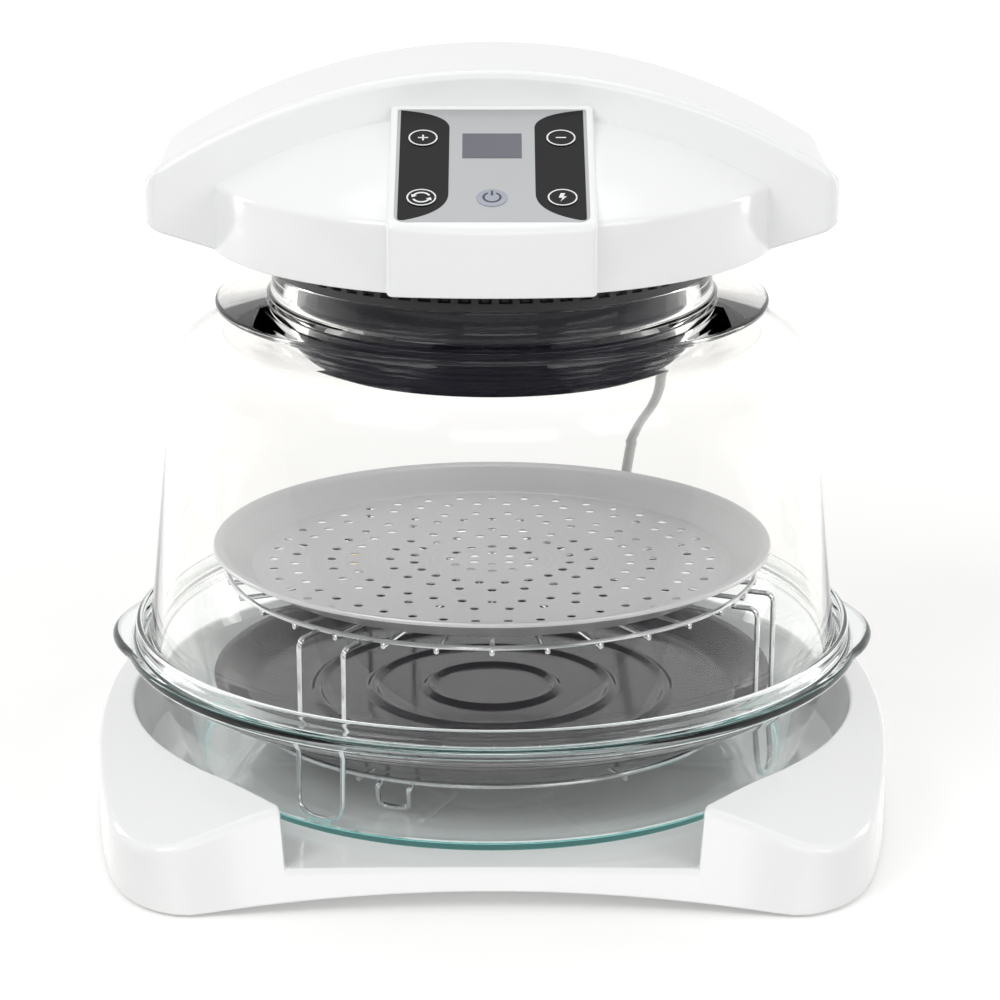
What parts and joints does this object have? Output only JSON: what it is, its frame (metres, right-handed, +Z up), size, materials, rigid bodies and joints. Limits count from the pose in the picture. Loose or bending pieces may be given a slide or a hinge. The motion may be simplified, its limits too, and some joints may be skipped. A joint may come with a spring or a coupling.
{
  "type": "countertop halogen oven",
  "caption": "Countertop halogen oven: white base, glass dish, wire racks, drip pan, perforated tray, glass dome and a lift-off white head with a sloping control panel, lamp, fan and mains cord.",
  "frame": {"origin": "on the worktop, under the vertical axis of the dish, dome and head", "axes": "+Z up along the dome's axis, -Y towards the user and the control panel, +X to the user's right"},
  "size_m": [0.43, 0.5648, 0.406],
  "materials": {
    "white_plastic": "glossy moulded white",
    "black_plastic": "satin black",
    "clear_glass": "clear blown glass",
    "dish_glass": "pressed glass with a green tint",
    "chrome_wire": "bright plated wire",
    "enamel": "glossy dark enamel",
    "tray_coat": "matte grey coating",
    "silver_film": "satin silver film with dark side fields",
    "lcd_glass": "dark grey-blue window",
    "dark_steel": "dark semi-gloss sheet steel",
    "bright_steel": "plain bright steel",
    "quartz": "clear quartz tube",
    "ceramic_white": "unglazed",
    "wool_board": "pressed mineral board",
    "board_green": "circuit board",
    "copper_wire": "enamelled copper winding",
    "grey_rubber": "matte",
    "cord_grey": "satin light grey sheath",
    "brass_pin": "plated"
  },
  "bodies": {
    "base": {"base_shell": "white_plastic", "foot_front_left": "grey_rubber", "foot_front_right": "grey_rubber", "foot_rear_left": "grey_rubber", "foot_rear_right": "grey_rubber"},
    "dish": {"glass_dish": "dish_glass"},
    "low_rack": {"low_rack": "chrome_wire"},
    "pan": {"drip_pan": "enamel"},
    "high_rack": {"high_rack": "chrome_wire", "high_rack_leg_1": "chrome_wire", "high_rack_leg_2": "chrome_wire", "high_rack_leg_3": "chrome_wire"},
    "tray": {"perforated_tray": "tray_coat"},
    "dome": {"glass_dome": "clear_glass"},
    "head": {"head_cover": "white_plastic", "head_lower_cover": "white_plastic", "head_screw_1": "bright_steel", "head_screw_2": "bright_steel", "head_screw_3": "bright_steel", "head_screw_4": "bright_steel", "console_housing": "white_plastic", "control_overlay": "silver_film", "display_window": "lcd_glass", "display_module": "black_plastic", "control_board": "board_green", "buzzer": "black_plastic", "vent_ring": "black_plastic", "heater_housing": "dark_steel", "fan_guard": "bright_steel", "reflector": "bright_steel", "insulation_disc": "wool_board", "halogen_tube": "quartz", "lamp_holder_left": "ceramic_white", "lamp_holder_right": "ceramic_white", "thermostat_probe": "bright_steel", "motor_deck": "bright_steel", "motor_bracket": "bright_steel", "motor_stator": "dark_steel", "motor_coil": "copper_wire", "bearing_bridge": "bright_steel", "terminal_block": "ceramic_white", "thermal_fuse": "ceramic_white", "strain_relief": "cord_grey", "cord_free": "cord_grey", "cord_coil": "cord_grey", "cord_tie": "black_plastic", "cord_tail": "cord_grey", "plug_body": "cord_grey", "plug_pin_left": "brass_pin", "plug_pin_right": "brass_pin"},
    "fan": {"motor_shaft": "bright_steel", "motor_rotor": "dark_steel", "convection_fan": "bright_steel", "cooling_fan": "black_plastic", "fan_nut": "bright_steel"},
    "plus_key": {"key_plus": "black_plastic"},
    "minus_key": {"key_minus": "black_plastic"},
    "mode_key": {"key_mode": "black_plastic"},
    "turbo_key": {"key_turbo": "black_plastic"},
    "start_key": {"key_start": "black_plastic"}
  },
  "joints": [
    {"name": "dish_lift", "type": "slide", "parent": "base", "child": "dish", "axis": [0, 0, 1], "range_m": [0, 0.06]},
    {"name": "low_rack_lift", "type": "slide", "parent": "dish", "child": "low_rack", "axis": [0, 0, 1], "range_m": [0, 0.02]},
    {"name": "pan_lift", "type": "slide", "parent": "low_rack", "child": "pan", "axis": [0, 0, 1], "range_m": [0, 0.03]},
    {"name": "high_rack_lift", "type": "slide", "parent": "dish", "child": "high_rack", "axis": [0, 0, 1], "range_m": [0, 0.06]},
    {"name": "tray_lift", "type": "slide", "parent": "high_rack", "child": "tray", "axis": [0, 0, 1], "range_m": [0, 0.03]},
    {"name": "dome_lift", "type": "slide", "parent": "dish", "child": "dome", "axis": [0, 0, 1], "range_m": [0, 0.11]},
    {"name": "head_lift", "type": "slide", "parent": "dome", "child": "head", "axis": [0, 0, 1], "range_m": [0, 0.08]},
    {"name": "fan_spin", "type": "hinge", "parent": "head", "child": "fan", "pos_m": [0, 0, 0.31], "axis": [0, 0, 1], "continuous": true},
    {"name": "plus_press", "type": "slide", "parent": "head", "child": "plus_key", "axis": [0, 0.3689, -0.9295], "range_m": [0, 0.0005], "stiffness_N_per_m": 800},
    {"name": "minus_press", "type": "slide", "parent": "head", "child": "minus_key", "axis": [0, 0.3689, -0.9295], "range_m": [0, 0.0005], "stiffness_N_per_m": 800},
    {"name": "mode_press", "type": "slide", "parent": "head", "child": "mode_key", "axis": [0, 0.3689, -0.9295], "range_m": [0, 0.0005], "stiffness_N_per_m": 800},
    {"name": "turbo_press", "type": "slide", "parent": "head", "child": "turbo_key", "axis": [0, 0.3689, -0.9295], "range_m": [0, 0.0005], "stiffness_N_per_m": 800},
    {"name": "start_press", "type": "slide", "parent": "head", "child": "start_key", "axis": [0, 0.3689, -0.9295], "range_m": [0, 0.0005], "stiffness_N_per_m": 800}
  ]
}
